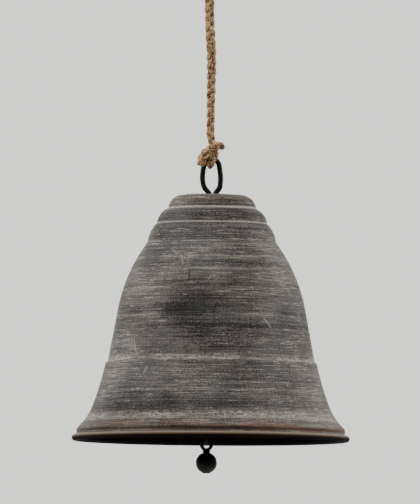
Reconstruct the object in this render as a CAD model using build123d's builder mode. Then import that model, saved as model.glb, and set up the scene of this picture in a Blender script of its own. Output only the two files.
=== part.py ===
from build123d import *

import os
from math import asin, atan2, cos, degrees, hypot, radians, sin, sqrt, tan

# A spun steel dinner bell on a braided jute rope. All sizes are in millimetres. The origin is the
# inside top of the rope's upper loop, where a hook holds the whole bell, and everything hangs below it.
# Heights, named H_ or written second or third in a point, are above the centre of the rolled rim.

RIM_Z = -473.5
FRONT = Plane(origin=(0, 0, RIM_Z), x_dir=(1, 0, 0), z_dir=(0, -1, 0))
SIDE = Plane(origin=(0, 0, RIM_Z), x_dir=(0, 1, 0), z_dir=(1, 0, 0))

# Bell: the outside face of the sheet, as (radius, height)
SHEET = 1.2
H_CROWN = 200.0
CROWN_FLAT_R = 24.0
HOLE_R = 5.0
LIP_R = 7.4
LIP_RISE = 0.8
LEDGE_1 = ((36.2, 188.9), (38.5, 187.7))
TIER_1_MIDDLE = (43.0, 183.4)
LEDGE_2 = ((45.5, 176.2), (46.6, 175.4))
TIER_2_MIDDLE = (50.4, 170.0)
SHOULDER = ((52.9, 161.4), (63.3, 144.9), (71.9, 125.2))
WALL = ((77.2, 105.4), (84.7, 63.5))
SKIRT = ((86.9, 61.0), (92.1, 41.2), (97.2, 26.4))
FLARE = (109.4, 8.4)
LAND_R = 110.3
H_LAND = 7.0
CURL_R = 1.4
CURL_TURN = 290.0
RIM_WIRE_R = 1.3

# Hanger: one wire, bent into an eye over the crown and a smaller one under it
HANGER_WIRE_R = 2.0
H_RING_TOP = 230.0
H_EYE_TIP = 231.6
EYE_SIDE = ((5.9, 226.8), (7.75, 214.8), (6.6, 206.3))
EYE_BENDS = (7.5, 30.0, 9.0)
WAIST_X = 2.35
H_WAIST = (201.2, 196.4)
WAIST_BEND = 3.5
LOWER_EYE = (-3.4, 184.0)
LOWER_EYE_BEND = 4.0
SHOULDERS = ((4.6, 192.4), (-7.4, 193.0))
SHOULDER_BEND = 2.6
WASHER_R = 8.5
WASHER_THICK = 1.0

# Clapper, and the chain that it hangs on
LINKS = 9
LINK_WIRE_R = 1.4
LINK_INNER_WIDTH = 5.2
GAP = 0.15
BALL_R = 8.4
H_BALL = -20.2
BALL_FLAT = 7.7
H_CLAPPER_EYE = -5.4
CLAPPER_EYE_R = 3.95
LEG_X = 1.45
NECK_BEND = 2.0
BORE_SLACK = 0.1
NUB_R = 3.3
NUB_RISE = 0.8

# Rope
ROPE_R = 3.75
TIGHT_ROPE_R = 3.0
ROPE_ROUTE = ((-2.6, 0, 368), (-2.6, 0, 346), (-1.3, -0.4, 314), (-2.2, 0.3, 281), (-1.2, 0, 245))
SEAT_GAP = 0.3
KNOT_BODY_X = 0.4
KNOT_BODY = ((5.4, 232.7), (8.3, 237.6), (4.8, 243.6))
BIGHT_R = 5.5
H_BIGHT_ENDS = 236.0
LOBE = ((-2.0, 2.0, 236.5), (-8.9, -1.5, 233.0), (-7.8, -5.2, 228.9))
TAIL = ((1.0, -3.0, 237.6), (6.0, -4.4, 239.2), (10.5, -5.0, 239.9))
TOP_KNOT_X = -0.6
TOP_KNOT_BODY = ((7.0, 368.0), (10.6, 377.5), (8.6, 386.0))
TOP_TAIL = ((4.0, -4.0, 380.0), (10.5, -6.5, 374.5), (15.5, -7.0, 369.5))
LOOP_ROUTE = (
    (-4.0, 386.0),
    (-4.0, 398.5),
    (-10.0, 412.5),
    (-20.0, 428.5),
    (-25.8, 446.0),
    (-22.5, 464.5),
    (-8.5, 477.1),
    (9.5, 477.4),
    (22.2, 464.2),
    (25.2, 445.5),
    (20.3, 428.0),
    (10.4, 412.0),
    (4.0, 398.0),
    (4.0, 386.0),
)

LINK_BEND = LINK_INNER_WIDTH / 2 + LINK_WIRE_R
HALF_TIP = atan2(EYE_SIDE[0][0], H_EYE_TIP - EYE_SIDE[0][1])
EYE_TIP_BEND = (H_EYE_TIP - H_RING_TOP) / (1 / sin(HALF_TIP) - 1)


def tangent_corner(start, end, centre, radius):
    """The corner between two legs that both touch the left and right of a bend, seen from above it."""
    lines = []
    for point, way in ((start, 1), (end, -1)):
        across = centre[0] - point[0]
        down = centre[1] - point[1]
        turn = asin(radius / hypot(across, down))
        lines.append((point, atan2(down, across) + way * turn))
    (x1, z1), a = lines[0]
    (x2, z2), b = lines[1]
    along = ((x2 - x1) * sin(b) - (z2 - z1) * cos(b)) / sin(b - a)
    return (x1 + along * cos(a), z1 + along * sin(a))


def easy_radii(route):
    """The largest bend at each corner that its two runs allow."""
    points = [Vector(point) for point in route]
    radii = []
    for before, corner, after in zip(points, points[1:], points[2:]):
        run = min((corner - before).length, (after - corner).length)
        turn = radians((corner - before).get_angle(after - corner))
        radii.append(0.45 * run / tan(turn / 2))
    return radii


os.makedirs("parts", exist_ok=True)

# ---------------------------------------------------------------- bell

with BuildPart() as bell_shell:
    with BuildSketch(FRONT):
        with BuildLine():
            TangentArc((CROWN_FLAT_R, H_CROWN), LEDGE_1[0], tangent=(1, 0))
            Line(*LEDGE_1)
            ThreePointArc(LEDGE_1[1], TIER_1_MIDDLE, LEDGE_2[0])
            Line(*LEDGE_2)
            ThreePointArc(LEDGE_2[1], TIER_2_MIDDLE, SHOULDER[0])
            shoulder = ThreePointArc(*SHOULDER)
            upper_wall = TangentArc(shoulder @ 1, WALL[0], tangent=shoulder % 1)
            TangentArc(upper_wall @ 1, WALL[1], tangent=upper_wall % 1)
            Line(WALL[1], SKIRT[0])
            skirt = ThreePointArc(*SKIRT)
            TangentArc(skirt @ 1, FLARE, tangent=skirt % 1)
            Polyline(FLARE, (LAND_R, H_LAND), (LAND_R, 0))
            offset(amount=SHEET, side=Side.RIGHT)
        make_face()
        with BuildLine():
            Polyline(
                (HOLE_R, H_CROWN + LIP_RISE),
                (LIP_R - LIP_RISE, H_CROWN + LIP_RISE),
                (LIP_R + LIP_RISE, H_CROWN),
                (CROWN_FLAT_R, H_CROWN),
                (CROWN_FLAT_R, H_CROWN - SHEET),
                (LIP_R, H_CROWN - SHEET),
                (LIP_R - 2 * LIP_RISE, H_CROWN + LIP_RISE - SHEET),
                (HOLE_R, H_CROWN + LIP_RISE - SHEET),
                close=True,
            )
        make_face()
        with BuildLine():
            inside = CenterArc((LAND_R + CURL_R, 0), CURL_R, 180, CURL_TURN)
            outside = CenterArc((LAND_R + CURL_R, 0), CURL_R + SHEET, 180, CURL_TURN)
            Line(inside @ 0, outside @ 0)
            Line(inside @ 1, outside @ 1)
        make_face()
    revolve(axis=Axis.Z)
bell_shell.part.label = "bell_shell"
export_step(bell_shell.part, "parts/bell_shell.step")

with BuildPart() as rim_wire:
    with BuildSketch(FRONT):
        with Locations((LAND_R + CURL_R, 0)):
            Circle(RIM_WIRE_R)
    revolve(axis=Axis.Z)
rim_wire.part.label = "rim_wire"
export_step(rim_wire.part, "parts/rim_wire.step")

# ---------------------------------------------------------------- hanger

with BuildPart() as hanger_loop:
    low_corner = tangent_corner(*SHOULDERS, (LOWER_EYE[0], LOWER_EYE[1] + LOWER_EYE_BEND), LOWER_EYE_BEND)
    with BuildLine(FRONT) as wire:
        FilletPolyline(
            (0, H_EYE_TIP),
            *EYE_SIDE,
            (WAIST_X, H_WAIST[0]),
            (WAIST_X, H_WAIST[1]),
            SHOULDERS[0],
            low_corner,
            SHOULDERS[1],
            (-WAIST_X, H_WAIST[1]),
            (-WAIST_X, H_WAIST[0]),
            *[(-x, height) for x, height in reversed(EYE_SIDE)],
            close=True,
            radius=[
                EYE_TIP_BEND,
                *EYE_BENDS,
                WAIST_BEND,
                SHOULDER_BEND,
                SHOULDER_BEND,
                LOWER_EYE_BEND,
                SHOULDER_BEND,
                SHOULDER_BEND,
                WAIST_BEND,
                *reversed(EYE_BENDS),
            ],
        )
    with BuildSketch(Plane(origin=wire.line @ 0, z_dir=wire.line % 0)):
        Circle(HANGER_WIRE_R)
    sweep(path=wire.line)
hanger_loop.part.label = "hanger_loop"
export_step(hanger_loop.part, "parts/hanger_loop.step")

with BuildPart() as inner_washer:
    with BuildSketch(FRONT):
        with BuildLine():
            Polyline(
                (HOLE_R, H_CROWN - SHEET),
                (WASHER_R, H_CROWN - SHEET),
                (WASHER_R, H_CROWN - SHEET - WASHER_THICK),
                (HOLE_R, H_CROWN - SHEET - WASHER_THICK),
                close=True,
            )
        make_face()
    revolve(axis=Axis.Z)
inner_washer.part.label = "inner_washer"
export_step(inner_washer.part, "parts/inner_washer.step")

# ---------------------------------------------------------------- chain and clapper

chain_top = LOWER_EYE[1] + HANGER_WIRE_R + LINK_WIRE_R + GAP
chain_bottom = H_CLAPPER_EYE + CLAPPER_EYE_R - 2 * LINK_WIRE_R - GAP
step_back = 2 * LINK_WIRE_R + GAP
link_height = (chain_top - chain_bottom + (LINKS - 1) * step_back) / LINKS
link_pitch = link_height - step_back


def link_plane(number, height):
    """Odd links stand in the YZ plane and even ones in the XZ plane, at the chain's place."""
    turned = SIDE if number % 2 else FRONT
    return Plane(origin=(LOWER_EYE[0], 0, RIM_Z + height), x_dir=turned.x_dir, z_dir=turned.z_dir)


for number in range(1, LINKS + 1):
    middle = chain_top - (number - 1) * link_pitch - link_height / 2
    half_run = link_height / 2 - LINK_BEND
    with BuildPart() as link:
        with BuildLine(link_plane(number, middle)) as wire:
            Line((LINK_BEND, -half_run), (LINK_BEND, half_run))
            CenterArc((0, half_run), LINK_BEND, 0, 180)
            Line((-LINK_BEND, half_run), (-LINK_BEND, -half_run))
            CenterArc((0, -half_run), LINK_BEND, 180, 180)
        with BuildSketch(Plane(origin=wire.line @ 0, z_dir=wire.line % 0)):
            Circle(LINK_WIRE_R)
        sweep(path=wire.line)
    link.part.label = f"chain_link_{number}"
    export_step(link.part, f"parts/chain_link_{number}.step")

bend_x = LEG_X + NECK_BEND
bend_drop = sqrt((CLAPPER_EYE_R + NECK_BEND) ** 2 - bend_x**2)
bend_turn = degrees(atan2(bend_drop, bend_x))
h_bend = H_CLAPPER_EYE - bend_drop
h_leg_end = H_BALL - BALL_FLAT

with BuildPart() as clapper_eye:
    with BuildLine(link_plane(0, 0)) as wire:
        Line((LEG_X, h_leg_end), (LEG_X, h_bend))
        CenterArc((bend_x, h_bend), NECK_BEND, 180, -bend_turn)
        CenterArc((0, H_CLAPPER_EYE), CLAPPER_EYE_R, -bend_turn, 180 + 2 * bend_turn)
        CenterArc((-bend_x, h_bend), NECK_BEND, bend_turn, -bend_turn)
        Line((-LEG_X, h_bend), (-LEG_X, h_leg_end))
    with BuildSketch(Plane(origin=wire.line @ 0, z_dir=wire.line % 0)):
        Circle(LINK_WIRE_R)
    sweep(path=wire.line)
    with BuildSketch(Plane((LOWER_EYE[0], 0, RIM_Z + h_leg_end))):
        Circle(NUB_R)
    extrude(amount=-NUB_RISE)
    fillet(clapper_eye.faces().sort_by(Axis.Z)[0].edges(), NUB_RISE / 2)
clapper_eye.part.label = "clapper_eye"
export_step(clapper_eye.part, "parts/clapper_eye.step")

with BuildPart() as clapper_ball:
    with BuildSketch(link_plane(0, H_BALL)):
        Circle(BALL_R)
        Rectangle(2 * BALL_R, 2 * BALL_FLAT, mode=Mode.INTERSECT)
        with Locations((-BALL_R / 2, 0)):
            Rectangle(BALL_R, 2 * BALL_R, mode=Mode.SUBTRACT)
    revolve(axis=Axis((LOWER_EYE[0], 0, 0), (0, 0, 1)))
    with BuildSketch(Plane((LOWER_EYE[0], 0, RIM_Z + h_leg_end))):
        SlotOverall(2 * (LEG_X + LINK_WIRE_R + BORE_SLACK), 2 * (LINK_WIRE_R + BORE_SLACK))
    extrude(amount=2 * BALL_FLAT, mode=Mode.SUBTRACT)
clapper_ball.part.label = "clapper_ball"
export_step(clapper_ball.part, "parts/clapper_ball.step")

# ---------------------------------------------------------------- rope

neck = Vector(*ROPE_ROUTE[-1]) + (0, 0, RIM_Z)


def barrel_plane(x):
    """The XZ plane with the knot's own axis, at x, as its local axis."""
    return Plane(origin=(x, 0, RIM_Z), x_dir=FRONT.x_dir, z_dir=FRONT.z_dir)


def placed(points):
    return [Vector(*point) + (0, 0, RIM_Z) for point in points]

with BuildPart() as rope:
    with BuildLine() as route:
        points = placed(ROPE_ROUTE)
        FilletPolyline(*points, radius=easy_radii(points))
    with BuildSketch(Plane(origin=route.line @ 0, z_dir=route.line % 0)):
        Circle(ROPE_R)
    sweep(path=route.line)
    with Locations(neck):
        Sphere(ROPE_R)
rope.part.label = "rope"
export_step(rope.part, "parts/rope.step")
print("rope bends", [round(r) for r in easy_radii(points)])

with BuildPart() as rope_knot:
    with BuildSketch(barrel_plane(KNOT_BODY_X)):
        with BuildLine():
            side = ThreePointArc(*KNOT_BODY)
            Polyline(side @ 1, (0, KNOT_BODY[2][1]), (0, KNOT_BODY[0][1]), side @ 0)
        make_face()
    revolve(axis=Axis((KNOT_BODY_X, 0, 0), (0, 0, 1)))
    with BuildLine(SIDE) as bight:
        Line((-BIGHT_R, H_BIGHT_ENDS), (-BIGHT_R, H_RING_TOP))
        CenterArc((0, H_RING_TOP), BIGHT_R, 180, 180)
        Line((BIGHT_R, H_RING_TOP), (BIGHT_R, H_BIGHT_ENDS))
    with BuildSketch(Plane(origin=bight.line @ 0, z_dir=bight.line % 0)):
        Circle(TIGHT_ROPE_R)
    sweep(path=bight.line)
    with BuildLine() as lobe:
        ThreePointArc(*placed(LOBE))
    with BuildSketch(Plane(origin=lobe.line @ 0, z_dir=lobe.line % 0)):
        Circle(TIGHT_ROPE_R)
    sweep(path=lobe.line)
    with Locations(lobe.line @ 1):
        Sphere(TIGHT_ROPE_R)
    with BuildLine() as tail:
        ThreePointArc(*placed(TAIL))
    with BuildSketch(Plane(origin=tail.line @ 0, z_dir=tail.line % 0)):
        Circle(TIGHT_ROPE_R)
    sweep(path=tail.line)
    with Locations(neck):
        Sphere(ROPE_R + SEAT_GAP, mode=Mode.SUBTRACT)
rope_knot.part.label = "rope_knot"
export_step(rope_knot.part, "parts/rope_knot.step")

with BuildPart() as rope_top_knot:
    with BuildSketch(barrel_plane(TOP_KNOT_X)):
        with BuildLine():
            side = ThreePointArc(*TOP_KNOT_BODY)
            Polyline(side @ 1, (0, TOP_KNOT_BODY[2][1]), (0, TOP_KNOT_BODY[0][1]), side @ 0)
        make_face()
    revolve(axis=Axis((TOP_KNOT_X, 0, 0), (0, 0, 1)))
    with BuildLine() as tail:
        ThreePointArc(*placed(TOP_TAIL))
    with BuildSketch(Plane(origin=tail.line @ 0, z_dir=tail.line % 0)):
        Circle(ROPE_R)
    sweep(path=tail.line)
rope_top_knot.part.label = "rope_top_knot"
export_step(rope_top_knot.part, "parts/rope_top_knot.step")

with BuildPart() as rope_top_loop:
    with BuildLine() as route:
        points = placed([(x, 0, height) for x, height in LOOP_ROUTE])
        FilletPolyline(*points, radius=easy_radii(points))
    with BuildSketch(Plane(origin=route.line @ 0, z_dir=route.line % 0)):
        Circle(ROPE_R)
    sweep(path=route.line)
rope_top_loop.part.label = "rope_top_loop"
export_step(rope_top_loop.part, "parts/rope_top_loop.step")
print("loop bends", [round(r) for r in easy_radii(points)])
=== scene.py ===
import math
import random

import bpy
import numpy as np
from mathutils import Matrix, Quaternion, Vector, noise


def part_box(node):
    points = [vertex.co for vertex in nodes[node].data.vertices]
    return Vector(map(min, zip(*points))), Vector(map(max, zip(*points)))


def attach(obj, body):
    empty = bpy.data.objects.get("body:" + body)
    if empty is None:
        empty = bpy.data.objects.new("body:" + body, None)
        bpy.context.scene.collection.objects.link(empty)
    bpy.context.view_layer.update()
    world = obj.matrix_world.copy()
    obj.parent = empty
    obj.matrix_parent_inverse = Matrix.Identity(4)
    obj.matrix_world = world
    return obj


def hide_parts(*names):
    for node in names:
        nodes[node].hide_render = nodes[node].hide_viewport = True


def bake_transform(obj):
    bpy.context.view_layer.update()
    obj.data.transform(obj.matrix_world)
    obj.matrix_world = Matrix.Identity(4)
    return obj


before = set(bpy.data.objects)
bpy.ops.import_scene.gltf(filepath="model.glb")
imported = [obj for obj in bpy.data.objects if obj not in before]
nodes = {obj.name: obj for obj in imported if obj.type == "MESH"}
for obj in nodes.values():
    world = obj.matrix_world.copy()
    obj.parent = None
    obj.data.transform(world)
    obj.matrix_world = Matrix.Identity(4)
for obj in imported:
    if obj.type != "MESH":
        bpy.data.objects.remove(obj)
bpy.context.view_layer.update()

# A spun metal dinner bell on a plaited jute rope. Everything is in metres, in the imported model's frame.
# Heights, written H_ or third in a point of the rope, are above the centre of the rolled rim.

rng = random.Random(11)
low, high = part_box("rim_wire")
RIM_Z = (low.z + high.z) / 2

# ---------------------------------------------------------------- camera

VIEW_HEIGHT = 0.4138
DISTANCE = 9.0
SENSOR = 36.0
LOOK_AT = Vector((-0.0016, 0.0, RIM_Z + 0.1532))
CAMERA_PLACE = Vector((LOOK_AT.x, -DISTANCE, RIM_Z - 0.300))
CAMERA_ROLL = math.radians(0.4)


def make_camera():
    """A long lens from the front and a little below, so that the bell's mouth shows as a thin line."""
    data = bpy.data.cameras.new("camera")
    data.sensor_width = SENSOR
    data.lens = SENSOR * DISTANCE / VIEW_HEIGHT
    data.clip_start, data.clip_end = 0.1, 200.0
    camera = bpy.data.objects.new("camera", data)
    bpy.context.scene.collection.objects.link(camera)
    camera.location = CAMERA_PLACE
    camera.rotation_mode = "QUATERNION"
    level = (LOOK_AT - CAMERA_PLACE).to_track_quat("-Z", "Y")
    camera.rotation_quaternion = level @ Quaternion((0, 0, 1), CAMERA_ROLL)
    bpy.context.scene.camera = camera


make_camera()

# ---------------------------------------------------------------- rope's line

# From the cut end, round the front of the knot and through the hanger's eye, to the neck of the knot
KNOT_ROUTE = (
    (0.0078, -0.0128, 0.2390),
    (0.0074, -0.0098, 0.2400),
    (0.0036, -0.0086, 0.2402),
    (-0.0018, -0.0098, 0.2380),
    (-0.0066, -0.0094, 0.2330),
    (-0.0088, -0.0070, 0.2256),
    (-0.0102, -0.0010, 0.2262),
    (-0.0088, 0.0046, 0.2330),
    (-0.0046, 0.0072, 0.2376),
    (-0.0020, 0.0078, 0.2335),
    (-0.0024, 0.0052, 0.2262),
    (-0.0022, -0.0015, 0.2240),
    (-0.0006, -0.0068, 0.2268),
    (0.0022, -0.0064, 0.2325),
    (0.0020, -0.0034, 0.2385),
    (-0.0012, -0.0005, 0.2450),
    (-0.0021, 0.0, 0.2520),
)
STANDING_ROUTE = (
    (-0.0016, 0.0002, 0.265),
    (-0.0018, 0.0003, 0.281),
    (-0.0010, -0.0004, 0.310),
    (-0.0034, 0.0, 0.346),
    (-0.0034, 0.0, 0.368),
)
LOOP_ROUTE = (
    (-0.0040, 0.0, 0.3860),
    (-0.0040, 0.0, 0.3985),
    (-0.0100, 0.0, 0.4125),
    (-0.0200, 0.0, 0.4285),
    (-0.0258, 0.0, 0.4460),
    (-0.0225, 0.0, 0.4645),
    (-0.0085, 0.0, 0.4771),
    (0.0095, 0.0, 0.4774),
    (0.0222, 0.0, 0.4642),
    (0.0252, 0.0, 0.4455),
    (0.0203, 0.0, 0.4280),
    (0.0104, 0.0, 0.4120),
    (0.0040, 0.0, 0.3980),
)
# Twice round the standing rope, and out to the cut end
TOP_KNOT_ROUTE = (
    (0.0040, -0.0010, 0.3900),
    (0.0010, -0.0072, 0.3860),
    (-0.0075, -0.0072, 0.3835),
    (-0.0112, 0.0005, 0.3820),
    (-0.0065, 0.0080, 0.3805),
    (0.0025, 0.0078, 0.3790),
    (0.0062, 0.0004, 0.3775),
    (0.0010, -0.0078, 0.3758),
    (-0.0080, -0.0074, 0.3742),
    (-0.0116, 0.0005, 0.3728),
    (-0.0065, 0.0082, 0.3716),
    (0.0028, 0.0080, 0.3712),
    (0.0080, 0.0010, 0.3722),
    (0.0115, -0.0050, 0.3730),
    (0.0155, -0.0070, 0.3695),
)
STEP = 0.00045


def nurbs_line(name, route):
    """An open NURBS curve with no bevel, on the route's points."""
    curve = bpy.data.curves.new(name, "CURVE")
    curve.dimensions = "3D"
    curve.resolution_u = 32
    spline = curve.splines.new("NURBS")
    spline.points.add(len(route) - 1)
    for point, (x, y, height) in zip(spline.points, route):
        point.co = (x, y, RIM_Z + height, 1)
    spline.order_u = 3
    spline.use_endpoint_u = True
    return bpy.data.objects.new(name, curve)


def lengths_along(points):
    """How far along a run of points each one is."""
    steps = np.linalg.norm(np.diff(points, axis=0), axis=1)
    return np.concatenate([[0], np.cumsum(steps)])


def at_places(points, places):
    """The points at these lengths along a run of points."""
    reached = lengths_along(points)
    return np.column_stack([np.interp(places, reached, column) for column in points.T])


def read_line(line, step):
    """Lengths a step apart along a curve, as Blender evaluates it, and the points there."""
    bpy.context.scene.collection.objects.link(line)
    mesh = bpy.data.meshes.new_from_object(line)
    co = np.zeros(len(mesh.vertices) * 3)
    mesh.vertices.foreach_get("co", co)
    co = co.reshape(-1, 3)
    bpy.data.objects.remove(line)
    whole = lengths_along(co)[-1]
    places = np.linspace(0, whole, int(whole / step) + 1)
    return places, at_places(co, places)


def unit(vectors):
    return vectors / np.linalg.norm(vectors, axis=-1, keepdims=True)


def smoothstep(value, start, end):
    """From 0 at the start to 1 at the end, with no corners."""
    t = np.clip((value - start) / (end - start), 0, 1)
    return t * t * (3 - 2 * t)


def side_vectors(points):
    """The line's direction at each point, and two vectors across it which don't twist about it."""
    tangents = unit(np.gradient(points, axis=0))
    across = np.zeros_like(points)
    side = np.cross(tangents[0], (0, 0, 1.0))
    for i, tangent in enumerate(tangents):
        side = side - tangent * (side @ tangent)
        side /= np.linalg.norm(side)
        across[i] = side
    return tangents, across, np.cross(tangents, across)


route = KNOT_ROUTE + STANDING_ROUTE + LOOP_ROUTE + TOP_KNOT_ROUTE
along, centre = read_line(nurbs_line("rope_line", route), STEP)
tangents, across, deep = side_vectors(centre)

# ---------------------------------------------------------------- rope

STRANDS = 3
STRAND_R = 0.00176
STRAND_SIDES = 20
PLAIT_HALF_WIDTH = 0.00165
PLAIT_HALF_DEPTH = 0.0012
PLAIT_PERIOD = 0.0236
YARNS = 5
YARN_LAY = 0.010
YARN_RELIEF = 0.10
# The plait's wide side faces the front at this height of the standing rope, which is this far along the line
H_FACES_FRONT = 0.300
STANDING_STRETCH = (0.11, 0.2)
# The knots pull the plait tighter, and these are the heights where that starts and stops
KNOT_SQUEEZE = 0.94
H_KNOT_ENDS = (0.242, 0.252)
H_TOP_KNOT_STARTS = (0.366, 0.371)
H_TOP_KNOT_ENDS = (0.387, 0.391)
# Above the knot the plait grows looser: how much wider its figure of eight and its hull get, and how
# much thicker its strands
H_LOOSENS = (0.262, 0.318)
LOOSE_WIDTH = 0.30
LOOSE_HULL = 0.2
LOOSE_STRAND = 0.10
# At each cut end the strands draw in over this length, to this share of the plait and of their radius
END_LENGTH = 0.004
END_PLAIT = 0.55
END_STRAND = 0.8
# How uneven the plait's width and the strands' radius are, and how fine along the rope that is
UNEVEN_WIDTH = 0.12
UNEVEN_RADIUS = 0.07
WIDTH_FINENESS = 90
RADIUS_FINENESS = 260


def face_front(height):
    """Vectors across the plait's wide and thin way, turned so that the wide one faces the front there."""
    standing = (along > STANDING_STRETCH[0]) & (along < STANDING_STRETCH[1])
    i = np.argmin(np.abs(centre[:, 2] - RIM_Z - height) + ~standing)
    turn = math.atan2(-deep[i, 0], across[i, 0])
    wide = across * math.cos(turn) - deep * math.sin(turn)
    thin = across * math.sin(turn) + deep * math.cos(turn)
    return wide, thin


wide, thin = face_front(H_FACES_FRONT)
height = centre[:, 2] - RIM_Z
in_knot = 1 - smoothstep(height, *H_KNOT_ENDS)
in_top_knot = smoothstep(height, *H_TOP_KNOT_STARTS) * (1 - smoothstep(height, *H_TOP_KNOT_ENDS))
squeeze = 1 - (1 - KNOT_SQUEEZE) * np.maximum(in_knot, in_top_knot)
looseness = smoothstep(height, *H_LOOSENS)
to_end = np.minimum(along, along[-1] - along)
closing = END_PLAIT + (1 - END_PLAIT) * smoothstep(to_end, 0.0, END_LENGTH)


def noise_along(fineness, row, shift):
    """Noise from -1 to 1 at each point along the line; another row or shift gives other noise."""
    return np.array([noise.noise(Vector((s * fineness, row, shift))) for s in along])


def strand_line(strand):
    """The middle of one strand of the plait: a figure of eight across the rope, moving along it."""
    phase = 2 * math.pi * (along / PLAIT_PERIOD + strand / STRANDS)
    uneven = 1 + UNEVEN_WIDTH * noise_along(WIDTH_FINENESS, strand * 7.3, 0.5)
    half_width = PLAIT_HALF_WIDTH * (1 + LOOSE_WIDTH * looseness) * squeeze * closing
    out = half_width * np.sin(phase) * uneven
    up = PLAIT_HALF_DEPTH * squeeze * closing * np.sin(2 * phase)
    return centre + wide * out[:, None] + thin * up[:, None]


def new_mesh_object(name, vertices, faces, attributes=None):
    mesh = bpy.data.meshes.new(name)
    mesh.from_pydata([tuple(v) for v in vertices], [], faces)
    for key, values in (attributes or {}).items():
        layer = mesh.attributes.new(key, "FLOAT_VECTOR", "POINT")
        layer.data.foreach_set("vector", np.asarray(values, np.float32).ravel())
    mesh.shade_smooth()
    mesh.update()
    obj = bpy.data.objects.new(name, mesh)
    bpy.context.scene.collection.objects.link(obj)
    return obj


def tube_faces(first, rings, sides):
    """Quads between rings of the same number of points, and a cap at each end."""
    faces = []
    for ring in range(rings - 1):
        a = first + ring * sides
        for side in range(sides):
            nxt = (side + 1) % sides
            faces.append((a + side, a + nxt, a + sides + nxt, a + sides + side))
    faces.append(tuple(first + side for side in reversed(range(sides))))
    faces.append(tuple(first + (rings - 1) * sides + side for side in range(sides)))
    return faces


def strand_points(strand, turn):
    """Rings of points round one strand, fluted by its yarns."""
    line = strand_line(strand)
    _, side, top = side_vectors(line)
    uneven = 1 + UNEVEN_RADIUS * noise_along(RADIUS_FINENESS, strand * 3.1, 8.5)
    radius = STRAND_R * (1 + LOOSE_STRAND * looseness) * squeeze * uneven
    radius *= np.minimum(1, END_STRAND + to_end / END_LENGTH)
    yarn = YARNS * turn[None, :] - 4 * math.pi * along[:, None] / YARN_LAY
    flute = 1 + YARN_RELIEF * (np.abs(np.cos(yarn / 2)) - 0.5)
    ring = side[:, None, :] * np.cos(turn)[None, :, None] + top[:, None, :] * np.sin(turn)[None, :, None]
    return line[:, None, :] + ring * (radius[:, None] * flute)[:, :, None]


def how_far_out(points):
    """1 for the points on the plait's outside, and less for those in its gaps."""
    offset = points - centre[:, None, :]
    half_width = (PLAIT_HALF_WIDTH + STRAND_R) * squeeze * (1 + LOOSE_HULL * looseness)
    half_depth = (PLAIT_HALF_DEPTH + STRAND_R) * squeeze
    x = (offset * wide[:, None, :]).sum(2) / half_width[:, None]
    y = (offset * thin[:, None, :]).sum(2) / half_depth[:, None]
    return np.hypot(x, y).ravel()


def make_strands():
    """The three strands as one mesh, with two attributes for the paint.

    "lay" holds the way along, the turn about the strand and its number; "hull" is how_far_out, which the
    paint uses for painted shade in the plait's gaps.
    """
    vertices, faces, lay, hull = [], [], [], []
    turn = np.linspace(0, 2 * math.pi, STRAND_SIDES, endpoint=False)
    for strand in range(STRANDS):
        points = strand_points(strand, turn)
        faces += tube_faces(len(vertices), len(points), STRAND_SIDES)
        vertices += list(points.reshape(-1, 3))
        hull += [(h, h, h) for h in how_far_out(points)]
        for s in along:
            lay += [(s, t - 2 * math.pi * s / YARN_LAY, strand) for t in turn]
    return new_mesh_object("rope_strands", vertices, faces, {"lay": lay, "hull": hull})


FIBRES = 2400
FIBRE_R = 0.00007
FIBRE_SIDES = 3
FIBRE_PIECES = 6
FIBRE_TAPER = 0.75
FIBRE_LENGTH = (0.002, 0.0055)
FIBRE_LIFT = (0.05, 0.55)
FIBRE_THICKNESS = (0.6, 1.2)
LONG_FIBRE_LENGTH = (0.006, 0.009)
LONG_FIBRE_SHARE = 0.02
# How far out in a strand a fibre's root is, as a share of its radius, and how deep it is sunk
ROOT_IN_STRAND = 0.7
ROOT_SINK = 0.9
# How much a fibre strays from the rope's direction and points outwards, and how much its lift strays
FIBRE_STRAY = 0.35
FIBRE_OUTWARD = 0.15
LIFT_STRAY = 0.5
# Points of the line at each end that have no stray fibres, and the one that the tuft grows from
BARE_POINTS = 8
TUFT_POINT = 4
TUFT_FIBRES = 160
TUFT_LENGTH = (0.0018, 0.0042)
TUFT_LIFT = 0.25
TUFT_THICKNESS = (0.9, 1.7)
TUFT_SPREAD = 0.0009
TUFT_STRAY = 0.28
TUFT_FAN = 200


def random_vector():
    return np.array([rng.gauss(0, 1), rng.gauss(0, 1), rng.gauss(0, 1)])


def fibre(start, way, out, length, lift):
    """Points along one fibre, which sets off one way and lifts outwards in a curve."""
    shares = [i / FIBRE_PIECES for i in range(FIBRE_PIECES + 1)]
    return np.array([start + way * (length * t) + out * (length * lift * t * t) for t in shares])


def stray_fibre():
    """A fibre that leaves the rope along it, from anywhere on its outside."""
    i = rng.randrange(BARE_POINTS, len(centre) - BARE_POINTS)
    angle = rng.uniform(0, 2 * math.pi)
    out = wide[i] * math.cos(angle) + thin[i] * math.sin(angle)
    x = math.cos(angle) * (PLAIT_HALF_WIDTH + STRAND_R * ROOT_IN_STRAND)
    y = math.sin(angle) * (PLAIT_HALF_DEPTH + STRAND_R * ROOT_IN_STRAND)
    start = centre[i] + out * math.hypot(x, y) * squeeze[i] * ROOT_SINK
    way = unit(tangents[i] * rng.choice((-1, 1)) + FIBRE_STRAY * random_vector() + FIBRE_OUTWARD * out)
    is_long = rng.random() <= LONG_FIBRE_SHARE
    length = rng.uniform(*(LONG_FIBRE_LENGTH if is_long else FIBRE_LENGTH))
    lift_way = unit(out + LIFT_STRAY * random_vector())
    return fibre(start, way, lift_way, length, rng.uniform(*FIBRE_LIFT))


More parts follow.
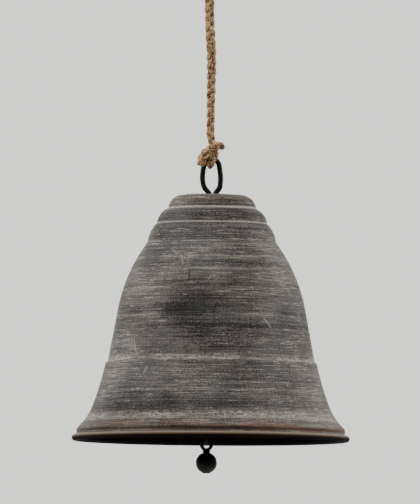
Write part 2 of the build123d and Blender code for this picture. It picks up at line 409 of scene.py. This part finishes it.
def tuft_fibre(i, sign):
    """A fibre that stands out of the rope's cut end."""
    spread = random_vector() * TUFT_SPREAD
    way = unit(tangents[i] * sign + TUFT_STRAY * random_vector() + spread * TUFT_FAN)
    return fibre(centre[i] + spread, way, unit(random_vector()), rng.uniform(*TUFT_LENGTH), TUFT_LIFT)


def add_fibre(vertices, faces, lay, points, thickness, shade):
    """Adds one fibre, a thin tube which tapers to its tip, to the lists of a mesh.

    Its shade, 0 to 1, picks its place in the paint's noise, so that no two fibres look alike.
    """
    first = len(vertices)
    _, side, top = side_vectors(points)
    for i, point in enumerate(points):
        r = FIBRE_R * thickness * (1 - FIBRE_TAPER * i / FIBRE_PIECES)
        for k in range(FIBRE_SIDES):
            a = 2 * math.pi * k / FIBRE_SIDES
            vertices.append(point + r * (side[i] * math.cos(a) + top[i] * math.sin(a)))
            lay.append((shade, shade * 3, shade * 5))
    faces.extend(tube_faces(first, len(points), FIBRE_SIDES))


def make_fibres():
    """Stray fibres all along the rope, and a frayed tuft at each cut end."""
    vertices, faces, lay = [], [], []
    for _ in range(FIBRES):
        add_fibre(vertices, faces, lay, stray_fibre(), rng.uniform(*FIBRE_THICKNESS), rng.random())
    for i, sign in ((TUFT_POINT, -1), (len(centre) - 1 - TUFT_POINT, 1)):
        for _ in range(TUFT_FIBRES):
            add_fibre(vertices, faces, lay, tuft_fibre(i, sign), rng.uniform(*TUFT_THICKNESS), rng.random())
    return new_mesh_object("rope_fibres", vertices, faces, {"lay": lay, "hull": [(1, 1, 1)] * len(lay)})


rope = make_strands()
rope_fibres = make_fibres()
for piece in (rope, rope_fibres):
    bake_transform(piece)
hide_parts("rope", "rope_knot", "rope_top_knot", "rope_top_loop")

# ---------------------------------------------------------------- bell

SEGMENTS = 400
OUTER_RINGS = 380
CURL_RINGS = 34
INNER_RINGS = 70
# The rim is rolled below this height, and the inside's black, which also paints in the shade inside the
# mouth, runs this many rings out onto the roll
H_ROLL = 0.0005
BLACK_AND_SHADE_ON_ROLL = 6
# The relief dies out towards the hole in the crown (radii) and towards the rim (heights)
RELIEF_FROM_HOLE = (0.011, 0.020)
RELIEF_FROM_RIM = (0.002, 0.010)
RELIEF_INSIDE = 0.5
H_LEDGES = (0.1883, 0.1758, 0.1614, 0.0622)
LEDGE_HALF = 0.0035
LEDGE_WAVER = 0.00045
GROOVE_DEPTH = 0.00010
FINE_GROOVE_SHARE = 0.6
DENT_DEPTH = 0.00035
# The noise of each kind of relief: how fine it is round the bell and up it, and a shift
BROAD_GROOVES = (1.1, 620, 0)
FINE_GROOVES = (2.3, 1500, 40)
DENTS = (2.4, 24, 9)
WAVERS = (3.0, 18, 70)


def outline(node):
    """The half outline of a turned CAD node, (radius, height) in order round the section, from its mesh."""
    mesh = node.data
    seam = {v.index: (v.co.x, v.co.z) for v in mesh.vertices if abs(v.co.y) < 1e-6 and v.co.x > 0}
    place_of = {index: (round(r, 6), round(z, 6)) for index, (r, z) in seam.items()}
    joined = {}
    for edge in mesh.edges:
        a, b = edge.vertices
        if a in seam and b in seam and place_of[a] != place_of[b]:
            joined.setdefault(place_of[a], set()).add(place_of[b])
            joined.setdefault(place_of[b], set()).add(place_of[a])
    loop = [min(joined, key=lambda place: (place[0], -place[1]))]
    while True:
        onward = [place for place in joined[loop[-1]] if place not in loop]
        if not onward:
            return np.array(loop)
        if len(loop) == 1:
            onward.sort(key=lambda place: -place[1])
        loop.append(onward[0])


def resample(points, count):
    """Points evenly spaced along a run of the outline, both ends included."""
    return at_places(points, np.linspace(0, lengths_along(points)[-1], count))


def bell_rings():
    """The outline from the hole's edge down the outside, round the rolled rim and up the inside.

    Returns its points, each one's share of the relief, and the number of the first one inside.
    """
    section = outline(nodes["bell_shell"])
    curl = np.argwhere(section[:, 1] < RIM_Z + H_ROLL).ravel()
    first, last = curl[0], curl[-1]
    outside = resample(section[: first + 1], OUTER_RINGS)
    rolled = resample(section[first : last + 1], CURL_RINGS)[1:-1]
    inside = resample(section[last:], INNER_RINGS)
    rings = np.vstack([outside, rolled, inside])
    relief = [np.ones(len(outside)), np.zeros(len(rolled)), np.full(len(inside), RELIEF_INSIDE)]
    from_hole = smoothstep(rings[:, 0], *RELIEF_FROM_HOLE)
    from_rim = smoothstep(rings[:, 1] - RIM_Z, *RELIEF_FROM_RIM)
    return rings, np.concatenate(relief) * from_hole * from_rim, len(outside) + len(rolled)


def wall_noise(x, y, z, fineness):
    """Noise from -1 to 1 at a height and a direction from the bell's axis."""
    round_bell, up_bell, shift = fineness
    return noise.noise(Vector((x * round_bell, y * round_bell, z * up_bell + shift)))


def wall_ring(point, normal, share):
    """One ring of the wall: the outline's point turned about the axis, with its grooves and dents.

    The ledges keep less of the grooves, and waver up and down instead.
    """
    (r, z), (nr, nz) = point, normal
    ledge = max(math.exp(-(((z - RIM_Z - h) / LEDGE_HALF) ** 2)) for h in H_LEDGES)
    ring = []
    for angle in np.linspace(0, 2 * math.pi, SEGMENTS, endpoint=False):
        x, y = math.cos(angle), math.sin(angle)
        fine = wall_noise(x, y, z, FINE_GROOVES)
        groove = wall_noise(x, y, z, BROAD_GROOVES) + FINE_GROOVE_SHARE * fine
        dent = wall_noise(x, y, z, DENTS)
        push = share * (GROOVE_DEPTH * groove * (1 - 0.5 * ledge) + DENT_DEPTH * dent)
        drop = share * ledge * LEDGE_WAVER * wall_noise(x, y, z, WAVERS)
        ring.append(((r + nr * push) * x, (r + nr * push) * y, z + nz * push + drop))
    return ring


def make_bell():
    """A lathe of the outline, with the second material on its inside."""
    rings, relief, inner_from = bell_rings()
    tangent = unit(np.gradient(rings, axis=0))
    normals = np.column_stack([-tangent[:, 1], tangent[:, 0]])
    vertices = []
    for point, normal, share in zip(rings, normals, relief):
        vertices += wall_ring(point, normal, share)
    faces, inner = [], []
    for ring in range(len(rings)):
        a, b = ring * SEGMENTS, (ring + 1) % len(rings) * SEGMENTS
        for side in range(SEGMENTS):
            nxt = (side + 1) % SEGMENTS
            faces.append((a + side, b + side, b + nxt, a + nxt))
            inner.append(1 if ring >= inner_from - BLACK_AND_SHADE_ON_ROLL else 0)
    bell = new_mesh_object("bell_body", vertices, faces)
    bell.data.polygons.foreach_set("material_index", inner)
    return bell


bell = make_bell()
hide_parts("bell_shell")
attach(bell, "bell")

# ---------------------------------------------------------------- forged pieces

# The hanger's eye leans to one side by this much, from its neck up
HANGER_LEAN = -0.0008
H_LEAN = (0.200, 0.215)


def remeshed(obj, voxel):
    """Makes the object's mesh again from small even faces."""
    change = obj.modifiers.new("remesh", "REMESH")
    change.mode = "VOXEL"
    change.voxel_size = voxel
    graph = bpy.context.evaluated_depsgraph_get()
    mesh = bpy.data.meshes.new_from_object(obj.evaluated_get(graph))
    obj.modifiers.clear()
    obj.data = mesh


def swell(obj, amount, rough=0.0, lumps=1.0):
    """Moves the surface along its normals by an amount, with some roughness."""
    mesh = obj.data
    co = np.array([v.co for v in mesh.vertices])
    normals = np.array([v.vector for v in mesh.vertex_normals])
    lump = np.array([noise.noise(Vector(p) * lumps) for p in co])
    co = co + normals * (amount + rough * lump)[:, None]
    mesh.vertices.foreach_set("co", co.ravel())
    mesh.update()


def forged(name, node, body, voxel, fill, grow, rough, lumps, lean=0.0):
    """A hand-forged stand-in for a CAD node, remeshed with faces of the voxel's size.

    fill: how far its tight corners are filled, as by hammering or weld. grow: how much further out its
    skin stands. rough, lumps: how high and how fine its unevenness is. lean: how far its top leans along X.
    """
    obj = bpy.data.objects.new(name, nodes[node].data.copy())
    bpy.context.scene.collection.objects.link(obj)
    remeshed(obj, voxel)
    if fill:
        swell(obj, fill)
        remeshed(obj, voxel)
        swell(obj, -fill)
    swell(obj, grow, rough, lumps)
    for vertex in obj.data.vertices:
        vertex.co.x += lean * smoothstep(vertex.co.z - RIM_Z, *H_LEAN)
    obj.data.shade_smooth()
    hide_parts(node)
    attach(obj, body)
    return obj


clapper_loop = forged(
    "clapper_loop", "clapper_eye", "clapper",
    voxel=0.00025, fill=0.0009, grow=0.0001, rough=0.00006, lumps=700,
)
clapper_bob = forged(
    "clapper_bob", "clapper_ball", "clapper",
    voxel=0.00035, fill=0.0, grow=0.0003, rough=0.00022, lumps=420,
)
hanger = forged(
    "hanger_wire", "hanger_loop", "bell",
    voxel=0.00030, fill=0.0, grow=0.0002, rough=0.00007, lumps=330, lean=HANGER_LEAN,
)

# ---------------------------------------------------------------- materials


class Paint:
    """A material whose nodes are added by short calls.

    A value is a number, a tuple or another node's output.
    """

    def __init__(self, name, roughness, metallic=0.0, coordinates=None):
        self.material = bpy.data.materials.new(name)
        self.material.use_nodes = True
        self.tree = self.material.node_tree
        self.surface = self.tree.nodes["Principled BSDF"]
        self.surface.inputs["Roughness"].default_value = roughness
        self.surface.inputs["Metallic"].default_value = metallic
        if coordinates:
            self.place = self.add("ShaderNodeAttribute", attribute_name=coordinates).outputs["Vector"]
        else:
            self.place = self.add("ShaderNodeTexCoord").outputs["Object"]

    def add(self, kind, inputs=None, **settings):
        node = self.tree.nodes.new(kind)
        for key, value in settings.items():
            setattr(node, key, value)
        for key, value in (inputs or {}).items():
            self.connect(value, node.inputs[key])
        return node

    def connect(self, value, socket):
        if isinstance(value, bpy.types.NodeSocket):
            self.tree.links.new(value, socket)
        else:
            socket.default_value = value

    def math(self, operation, *values, clamp=False):
        inputs = dict(enumerate(values))
        return self.add("ShaderNodeMath", inputs, operation=operation, use_clamp=clamp).outputs[0]

    def times(self, first, second):
        return self.math("MULTIPLY", first, second)

    def vector(self, operation, *values):
        inputs = dict(enumerate(values))
        node = self.add("ShaderNodeVectorMath", inputs, operation=operation)
        return node.outputs["Value" if operation in ("DOT_PRODUCT", "LENGTH", "DISTANCE") else "Vector"]

    def noise(self, stretch, detail=3.0, rough=0.55, shift=0.0, source=None):
        """Noise whose lumps are 1/stretch metres across in each direction, from 0 to 1."""
        scaled = self.vector("MULTIPLY", source or self.place, stretch)
        moved = self.vector("ADD", scaled, (shift, shift * 1.7, shift * 0.6))
        inputs = {"Vector": moved, "Scale": 1.0, "Detail": detail, "Roughness": rough}
        return self.add("ShaderNodeTexNoise", inputs).outputs["Fac"]

    def span(self, value, start, end, low=0.0, high=1.0):
        """Maps a value from start..end to low..high, smoothly and within those."""
        inputs = {"Value": value, "From Min": start, "From Max": end, "To Min": low, "To Max": high}
        return self.add("ShaderNodeMapRange", inputs, interpolation_type="SMOOTHSTEP").outputs["Result"]

    def mix(self, factor, first, second):
        """The first colour where the factor is 0, and the second where it is 1."""
        node = self.add("ShaderNodeMix", data_type="RGBA")
        for value, socket in ((factor, node.inputs[0]), (first, node.inputs[6]), (second, node.inputs[7])):
            self.connect(value, socket)
        return node.outputs[2]

    def finish(self, color, roughness=None, height=None, distance=0.0002, strength=0.5):
        """Connects the colour and, if given, the roughness and the bump's height."""
        self.connect(color, self.surface.inputs["Base Color"])
        if roughness:
            self.connect(roughness, self.surface.inputs["Roughness"])
        if height:
            bump = self.add("ShaderNodeBump", {"Height": height, "Distance": distance, "Strength": strength})
            self.connect(bump.outputs["Normal"], self.surface.inputs["Normal"])
        return self.material


def rgb(red, green, blue):
    """A colour from sRGB values, 0 to 255."""
    parts = [c / 255 for c in (red, green, blue)]
    return tuple(p / 12.92 if p <= 0.04045 else ((p + 0.055) / 1.055) ** 2.4 for p in parts) + (1.0,)


METAL_DARK = rgb(50, 44, 39)
METAL_LIGHT = rgb(158, 152, 141)
METAL_COOL = rgb(92, 98, 96)
METAL_WARM = rgb(88, 68, 54)
DASH_COLOR = rgb(200, 190, 174)
WORN_COLOR = rgb(214, 202, 184)
SCRATCH_COLOR = rgb(176, 170, 160)
RUST = rgb(130, 88, 58)
SEAM_COLOR = rgb(52, 38, 28)
# Painted highlight on the top of the rolled rim, and painted shade on its lower side and underside
ROLL_HIGHLIGHT = rgb(156, 138, 122)
ROLL_LOWER_SHADE = rgb(66, 46, 32)
ROLL_UNDERSIDE_SHADE = rgb(10, 7, 5)
H_SEAM = 0.0052
SCRATCH_HALF = 0.0015

# Each is the band's height on the bell, its half width, how much of it is worn, how far it wavers
# and how speckled it is
WORN_BANDS = (
    (0.1890, 0.0017, 1.30, 0.0006, 0.1),
    (0.1765, 0.0012, 1.05, 0.0006, 0.2),
    (0.1620, 0.0025, 0.35, 0.0030, 0.9),
    (0.0640, 0.0040, 0.75, 0.0035, 0.9),
    (0.0625, 0.0010, 0.60, 0.0010, 0.4),
    (0.0165, 0.0050, 0.85, 0.0030, 0.9),
    (0.0150, 0.0010, 0.45, 0.0015, 0.5),
    (0.0030, 0.0010, 0.45, 0.0004, 0.3),
)
# Darker zones of the paint and painted shade: height, half height, share. The paint is darker at the tiers,
# at 0.183; the zone at 0.095, where the wall stands upright, is painted shade, the dark front mirrored in
# it.
DARK_PAINT_AND_SHADE_ZONES = (
    (0.1830, 0.0260, 0.36),
    (0.0950, 0.0300, 0.20),
    (0.0450, 0.0180, 0.10),
    (0.0290, 0.0130, 0.20),
    (0.0080, 0.0080, 0.16),
)
# Soft patches: angle round the bell from the front, height, radius there, reach, how much darker. The first,
# at the front middle, is painted shade: the dark front mirrored in the bell.
SOFT_PATCHES_AND_SHADE = (
    (-16.0, 0.1070, 0.0775, 0.0380, 0.42),
    (0.0, 0.0760, 0.0830, 0.0260, 0.14),
    (-30.0, 0.0500, 0.0895, 0.0300, -0.12),
    (-58.0, 0.0660, 0.0840, 0.0360, -0.34),
    (-45.0, 0.1500, 0.0620, 0.0320, 0.20),
    (60.0, 0.0150, 0.1020, 0.0400, -0.16),
    (120.0, 0.1050, 0.0770, 0.0350, 0.40),
    (200.0, 0.0700, 0.0830, 0.0300, 0.35),
)
# Each scratch is (angle round the bell from the front, height, radius) at its start and at its end
SCRATCHES = (
    ((-50.5, 0.0790, 0.0826), (-46.0, 0.0660, 0.0846)),
    ((-49.5, 0.0745, 0.0832), (-48.2, 0.0700, 0.0840)),
    ((-36.5, 0.0560, 0.0884), (-38.0, 0.0505, 0.0897)),
    ((-52.5, 0.0800, 0.0824), (-51.5, 0.0730, 0.0834)),
    ((-24.0, 0.1480, 0.0618), (-21.0, 0.1400, 0.0652)),
    ((-34.0, 0.1530, 0.0590), (-28.0, 0.1490, 0.0612)),
    ((33.0, 0.0960, 0.0795), (37.0, 0.0890, 0.0808)),
    ((160.0, 0.1100, 0.0762), (166.0, 0.1020, 0.0780)),
)


def on_bell(angle, height, radius):
    """A point from its angle round the bell, in degrees from the front, its height and its radius."""
    turn = math.radians(angle)
    return (radius * math.sin(turn), -radius * math.cos(turn), RIM_Z + height)


def band(paint, height, middle, half, waver):
    """1 on a ring of the bell at this height, fading over half to each side; its middle wavers."""
    offset = paint.math("ABSOLUTE", paint.math("SUBTRACT", paint.math("ADD", height, waver), middle))
    return paint.span(offset, 0.0, half, 1.0, 0.0)


def scratch(paint, start, end):
    """1 along a straight scratch between two points of the surface."""
    run = Vector(end) - Vector(start)
    rel = paint.vector("SUBTRACT", paint.place, tuple(start))
    onward = paint.vector("DOT_PRODUCT", rel, tuple(run))
    share = paint.math("DIVIDE", onward, run.length_squared, clamp=True)
    line = paint.add("ShaderNodeVectorMath", {0: tuple(run), "Scale": share}, operation="SCALE").outputs[0]
    return paint.span(paint.vector("DISTANCE", rel, line), 0.0, SCRATCH_HALF, 1.0, 0.0)


def brushing(paint):
    """The layers of brushing, each 0 to 1, from broad bands round the bell to a fine grain."""
    broad = paint.span(paint.noise((5, 5, 170), 2.0), 0.34, 0.66)
    lines = paint.span(paint.noise((3.0, 3.0, 820), 2.0, 0.7, 5.0), 0.38, 0.62)
    hair = paint.span(paint.noise((34, 34, 1250), 2.0, 0.6, 17.0), 0.36, 0.64)
    grain = paint.span(paint.noise((850, 850, 1100), 2.0, 0.6, 27.0), 0.38, 0.62)
    return broad, lines, hair, grain


def upright_wear(paint):
    """Faint uneven wear that runs up the bell, -0.5 to 0.5."""
    around = paint.vector("NORMALIZE", paint.vector("MULTIPLY", paint.place, (1, 1, 0)))
    turned = paint.vector("MULTIPLY", around, (95, 95, 0))
    raised = paint.vector("MULTIPLY", paint.place, (0, 0, 30))
    source = paint.vector("ADD", turned, raised)
    return paint.span(paint.noise((1, 1, 1), 3.0, 0.6, 3.0, source), 0.3, 0.7, -0.5, 0.5)


def metal_tone(paint, height, layers):
    """How light the brushed paint is, with its darker zones and soft patches; some of these are painted
    shade where the bell mirrors the dark front.
    """
    patches = paint.noise((16, 16, 20), 3.0, 0.55, 21.0)
    tone = paint.span(patches, 0.3, 0.7, -0.20, 0.12)
    for layer, share in zip((*layers, upright_wear(paint)), (0.11, 0.26, 0.31, 0.38, 0.12)):
        tone = paint.math("ADD", tone, paint.times(layer, share))
    # Darker paint at the tiers, and painted shade on the upright wall
    for middle, half, share in DARK_PAINT_AND_SHADE_ZONES:
        zone = band(paint, height, middle, half, paint.times(patches, 0.006))
        tone = paint.math("SUBTRACT", tone, paint.times(zone, share))
    # The first soft patch is painted shade, the dark front mirrored in the bell
    for angle, middle, radius, reach, share in SOFT_PATCHES_AND_SHADE:
        away = paint.vector("DISTANCE", paint.place, on_bell(angle, middle, radius))
        tone = paint.math("SUBTRACT", tone, paint.span(away, 0.0, reach, share, 0.0))
    return tone


def metal_color(paint, tone):
    """The tone as a colour, cooler and warmer in places, with short pale dashes in the brushing."""
    color = paint.mix(paint.math("MAXIMUM", tone, 0.0, clamp=True), METAL_DARK, METAL_LIGHT)
    tint = paint.noise((22, 22, 26), 3.0, 0.6, 33.0)
    color = paint.mix(paint.span(tint, 0.44, 0.66, 0.0, 0.40), color, METAL_COOL)
    warm = paint.noise((12, 12, 30), 2.0, 0.5, 47.0)
    color = paint.mix(paint.span(warm, 0.52, 0.76, 0.0, 0.30), color, METAL_WARM)
    dashes = paint.noise((75, 75, 1500), 2.0, 0.6, 11.0)
    pale = paint.math("ADD", dashes, paint.times(tone, 0.25))
    return paint.mix(paint.span(pale, 0.70, 0.80, 0.0, 0.75), color, DASH_COLOR)


def worn_rings(paint, height, ragged, broken):
    """1 where the ledges and the flare are rubbed bare."""
    specks = paint.noise((380, 380, 900), 2.0, 0.6, 91.0)
    rubbed = paint.span(paint.noise((26, 26, 9), 2.0, 0.5, 55.0), 0.42, 0.56)
    worn = 0.0
    for middle, half, share, reach, speckled in WORN_BANDS:
        ring = band(paint, height, middle, half, paint.times(ragged, reach))
        ring = paint.times(ring, paint.span(broken, 0.62 - share * 0.35, 0.72 - share * 0.2))
        ring = paint.times(ring, paint.span(specks, 0.42, 0.58, 1 - speckled))
        ring = paint.times(ring, paint.span(rubbed, 0.0, 1.0, 1 - 0.8 * speckled))
        worn = paint.math("MAXIMUM", worn, ring)
    return worn


def rim_color(paint, color, height, ragged):
    """Rust on the flare's edge, a dark seam above the roll, and on the roll a painted highlight at its top
    and painted shade on its lower side and underside.
    """
    stains = paint.span(paint.noise((20, 20, 560), 3.0, 0.65, 83.0), 0.42, 0.62)
    rusty = paint.times(paint.span(height, 0.014, 0.006), stains)
    color = paint.mix(paint.times(rusty, 0.75), color, RUST)
    seam = band(paint, height, H_SEAM, 0.0012, paint.times(ragged, 0.0004))
    color = paint.mix(paint.times(seam, 0.75), color, SEAM_COLOR)
    # Painted highlight on the top of the roll, then painted shade down its lower side and on its underside
    rolled = paint.span(height, 0.0040, 0.0018)
    color = paint.mix(paint.times(rolled, 0.85), color, ROLL_HIGHLIGHT)
    color = paint.mix(paint.span(height, 0.0016, -0.0002), color, ROLL_LOWER_SHADE)
    return paint.mix(paint.span(height, 0.0000, -0.0016), color, ROLL_UNDERSIDE_SHADE)


def scratched(paint, color, broken):
    """The colour with the scratches drawn over it, broken here and there."""
    strength = paint.span(broken, 0.3, 0.5, 0.0, 0.8)
    for start, end in SCRATCHES:
        mark = scratch(paint, on_bell(*start), on_bell(*end))
        color = paint.mix(paint.times(mark, strength), color, SCRATCH_COLOR)
    return color


def bell_paint():
    """Dark spun metal, brushed round in fine streaks, rubbed pale on the ledges and rusty at the rim."""
    paint = Paint("distressed_metal", 0.5, 0.06)
    height = paint.math("SUBTRACT", paint.add("ShaderNodeSeparateXYZ", {0: paint.place}).outputs[2], RIM_Z)
    ragged = paint.math("SUBTRACT", paint.noise((24, 24, 10), 3.0, 0.6, 61.0), 0.5)
    broken = paint.noise((70, 70, 800), 3.0, 0.7, 71.0)
    layers = brushing(paint)
    tone = metal_tone(paint, height, layers)

    color = metal_color(paint, tone)
    color = paint.mix(paint.times(worn_rings(paint, height, ragged, broken), 0.92), color, WORN_COLOR)
    color = scratched(paint, rim_color(paint, color, height, ragged), broken)

    skin = paint.span(tone, 0.2, 0.8, 0.40, 0.58)
    rough = paint.math("MAXIMUM", skin, paint.span(height, 0.003, 0.001, 0.0, 0.75))
    paint.connect(paint.span(height, 0.002, -0.001, 0.14, 0.05), paint.surface.inputs["Specular IOR Level"])
    _, lines, hair, grain = layers
    relief = paint.math("ADD", lines, paint.times(hair, 0.6))
    relief = paint.math("ADD", relief, paint.times(grain, 0.4))
    return paint.finish(color, rough, relief, 0.0002, 0.5)


def inside_black_and_shade():
    """Matt near-black inside the bell, a little uneven; it is dark enough to paint in the shade inside the
    bell's mouth as well.
    """
    paint = Paint("black_inside_and_shade", 0.7)
    paint.surface.inputs["Specular IOR Level"].default_value = 0.15
    spots = paint.noise((60, 60, 400), 3.0)
    color = paint.mix(paint.span(spots, 0.4, 0.8), rgb(8, 7, 6), rgb(19, 17, 15))
    return paint.finish(color, None, spots, 0.0002, 0.4)


def iron_paint(name, lumps, worn_color):
    """Blackened iron, with a rough skin and a little bare metal."""
    paint = Paint(name, 0.42, 0.6)
    skin = paint.noise((lumps, lumps, lumps), 4.0, 0.6)
    rubs = paint.noise((lumps * 0.3, lumps * 0.3, lumps * 0.45), 3.0, 0.6, 9.0)
    color = paint.mix(paint.span(skin, 0.35, 0.75), rgb(14, 14, 14), rgb(42, 41, 40))
    color = paint.mix(paint.span(rubs, 0.60, 0.74, 0.0, 0.6), color, worn_color)
    rough = paint.span(skin, 0.3, 0.7, 0.35, 0.6)
    return paint.finish(color, rough, skin, 0.00015, 0.5)


def steel_paint():
    """Dull steel, brushed round the bell's axis."""
    paint = Paint("dull_steel", 0.45, 0.9)
    lines = paint.noise((40, 40, 3000), 3.0)
    color = paint.mix(lines, rgb(70, 68, 65), rgb(150, 146, 140))
    return paint.finish(color, None, lines, 0.0001, 0.3)


def jute_paint(name, dark, light):
    """Hairy jute: fibres run along each strand, some pale and some brown, and painted shade darkens it in
    the gaps.
    """
    paint = Paint(name, 0.85, 0.0, "lay")
    fibres = paint.noise((420, 2.2, 9.0), 3.0, 0.7)
    bits = paint.noise((900, 1.4, 5.0), 2.0, 0.6, 13.0)
    lengths = paint.noise((60, 0.6, 3.0), 2.0, 0.5, 29.0)
    tone = paint.math("ADD", paint.times(fibres, 0.6), paint.times(lengths, 0.4))
    color = paint.mix(paint.span(tone, 0.41, 0.59), dark, light)
    color = paint.mix(paint.span(bits, 0.53, 0.63, 0.0, 0.85), color, rgb(255, 224, 178))
    color = paint.mix(paint.span(bits, 0.45, 0.36, 0.0, 0.85), color, rgb(74, 36, 12))
    # Painted shade: darker where a strand lies deep in the plait's gaps
    hull_for_gap_shade = paint.add("ShaderNodeAttribute", attribute_name="hull").outputs["Fac"]
    color = paint.mix(paint.span(hull_for_gap_shade, 0.84, 0.50), color, rgb(52, 26, 9))
    paint.surface.inputs["Sheen Weight"].default_value = 0.25
    return paint.finish(color, None, fibres, 0.0003, 0.8)


def put(obj, *materials):
    """Puts these materials into the object's slots, in order, and adds slots where it has too few."""
    for i, material in enumerate(materials):
        if i < len(obj.data.materials):
            obj.data.materials[i] = material
        else:
            obj.data.materials.append(material)


black_iron = iron_paint("black_iron_wire", 900, rgb(104, 103, 100))
# The chain's copy of the iron has darker bare metal: painted shade, as the chain hangs in the dark inside of
# the bell
shaded_chain_iron = iron_paint("black_chain_iron_shaded", 900, rgb(70, 68, 66))
black_ball = iron_paint("black_cast_iron", 520, rgb(58, 54, 50))
put(bell, bell_paint(), inside_black_and_shade())
put(rope, jute_paint("jute_strands", rgb(130, 74, 34), rgb(255, 208, 146)))
put(rope_fibres, jute_paint("jute_fibres", rgb(164, 112, 68), rgb(228, 184, 134)))
put(hanger, black_iron)
put(clapper_loop, black_iron)
put(clapper_bob, black_ball)
for name, node in nodes.items():
    if name.startswith("chain_link"):
        put(node, shaded_chain_iron)
steel = steel_paint()
put(nodes["rim_wire"], steel)
put(nodes["inner_washer"], steel)

# ---------------------------------------------------------------- floor and light

FLOOR_DEPTH = 2.0
FLOOR_R = 2.4
FLOOR_SIDES = 96
PALE = rgb(226, 226, 223)
AMBIENT = 0.22
BACKDROP = 1.75
# Light added to the ambient light: axis, where along it the light starts and stops growing, and how much
WORLD_LIGHT = (
    (1, -0.15, 0.75, 0.75),     # from behind the bell
    (2, 0.0, 0.9, 0.42),        # from above
    (2, 0.0, -0.3, -0.12),      # less from below
)
LIGHT_SIZE = 1.6
LIGHTS = (
    ("left_light", (-2.8, -0.7, 0.9), 44),
    ("right_light", (2.8, -0.5, 0.7), 35),
    ("top_light", (0.2, -0.8, 2.6), 18),
)


def make_floor():
    """A plain pale round floor well below the bell."""
    angles = np.linspace(0, 2 * math.pi, FLOOR_SIDES, endpoint=False)
    ring = [(FLOOR_R * math.cos(a), FLOOR_R * math.sin(a), -FLOOR_DEPTH) for a in angles]
    floor = new_mesh_object("floor", ring, [tuple(range(FLOOR_SIDES))])
    put(floor, Paint("floor_paint", 0.8).finish(PALE))


def add_light(name, place, power):
    """A square soft light that faces the bell's middle."""
    data = bpy.data.lights.new(name, "AREA")
    data.size = LIGHT_SIZE
    data.energy = power
    light = bpy.data.objects.new(name, data)
    light.location = place
    light.rotation_euler = (LOOK_AT - Vector(place)).to_track_quat("-Z", "Y").to_euler()
    bpy.context.scene.collection.objects.link(light)


def world_strength(tree):
    """The strength of the world's light by direction, as the output of the last of its nodes."""
    way = tree.nodes.new("ShaderNodeTexCoord").outputs["Generated"]
    split = tree.nodes.new("ShaderNodeSeparateXYZ")
    tree.links.new(way, split.inputs[0])
    strength = None
    for axis, start, end, amount in WORLD_LIGHT:
        share = tree.nodes.new("ShaderNodeMapRange")
        share.interpolation_type = "SMOOTHSTEP"
        tree.links.new(split.outputs[axis], share.inputs["Value"])
        share.inputs["From Min"].default_value = start
        share.inputs["From Max"].default_value = end
        share.inputs["To Max"].default_value = amount
        total = tree.nodes.new("ShaderNodeMath")
        tree.links.new(share.outputs["Result"], total.inputs[0])
        if strength is None:
            total.inputs[1].default_value = AMBIENT
        else:
            tree.links.new(strength, total.inputs[1])
        strength = total.outputs[0]
    return strength


def make_world():
    """Soft light all round, stronger from above and from behind the bell; the camera sees one pale tone."""
    world = bpy.data.worlds.new("world")
    world.use_nodes = True
    tree = world.node_tree
    light = tree.nodes["Background"]
    light.inputs["Color"].default_value = PALE
    tree.links.new(world_strength(tree), light.inputs["Strength"])
    backdrop = tree.nodes.new("ShaderNodeBackground")
    backdrop.inputs["Color"].default_value = PALE
    backdrop.inputs["Strength"].default_value = BACKDROP
    choose = tree.nodes.new("ShaderNodeMixShader")
    is_camera = tree.nodes.new("ShaderNodeLightPath").outputs["Is Camera Ray"]
    tree.links.new(is_camera, choose.inputs[0])
    tree.links.new(light.outputs[0], choose.inputs[1])
    tree.links.new(backdrop.outputs[0], choose.inputs[2])
    tree.links.new(choose.outputs[0], tree.nodes["World Output"].inputs["Surface"])
    bpy.context.scene.world = world


make_floor()
make_world()
for name, place, power in LIGHTS:
    add_light(name, place, power)
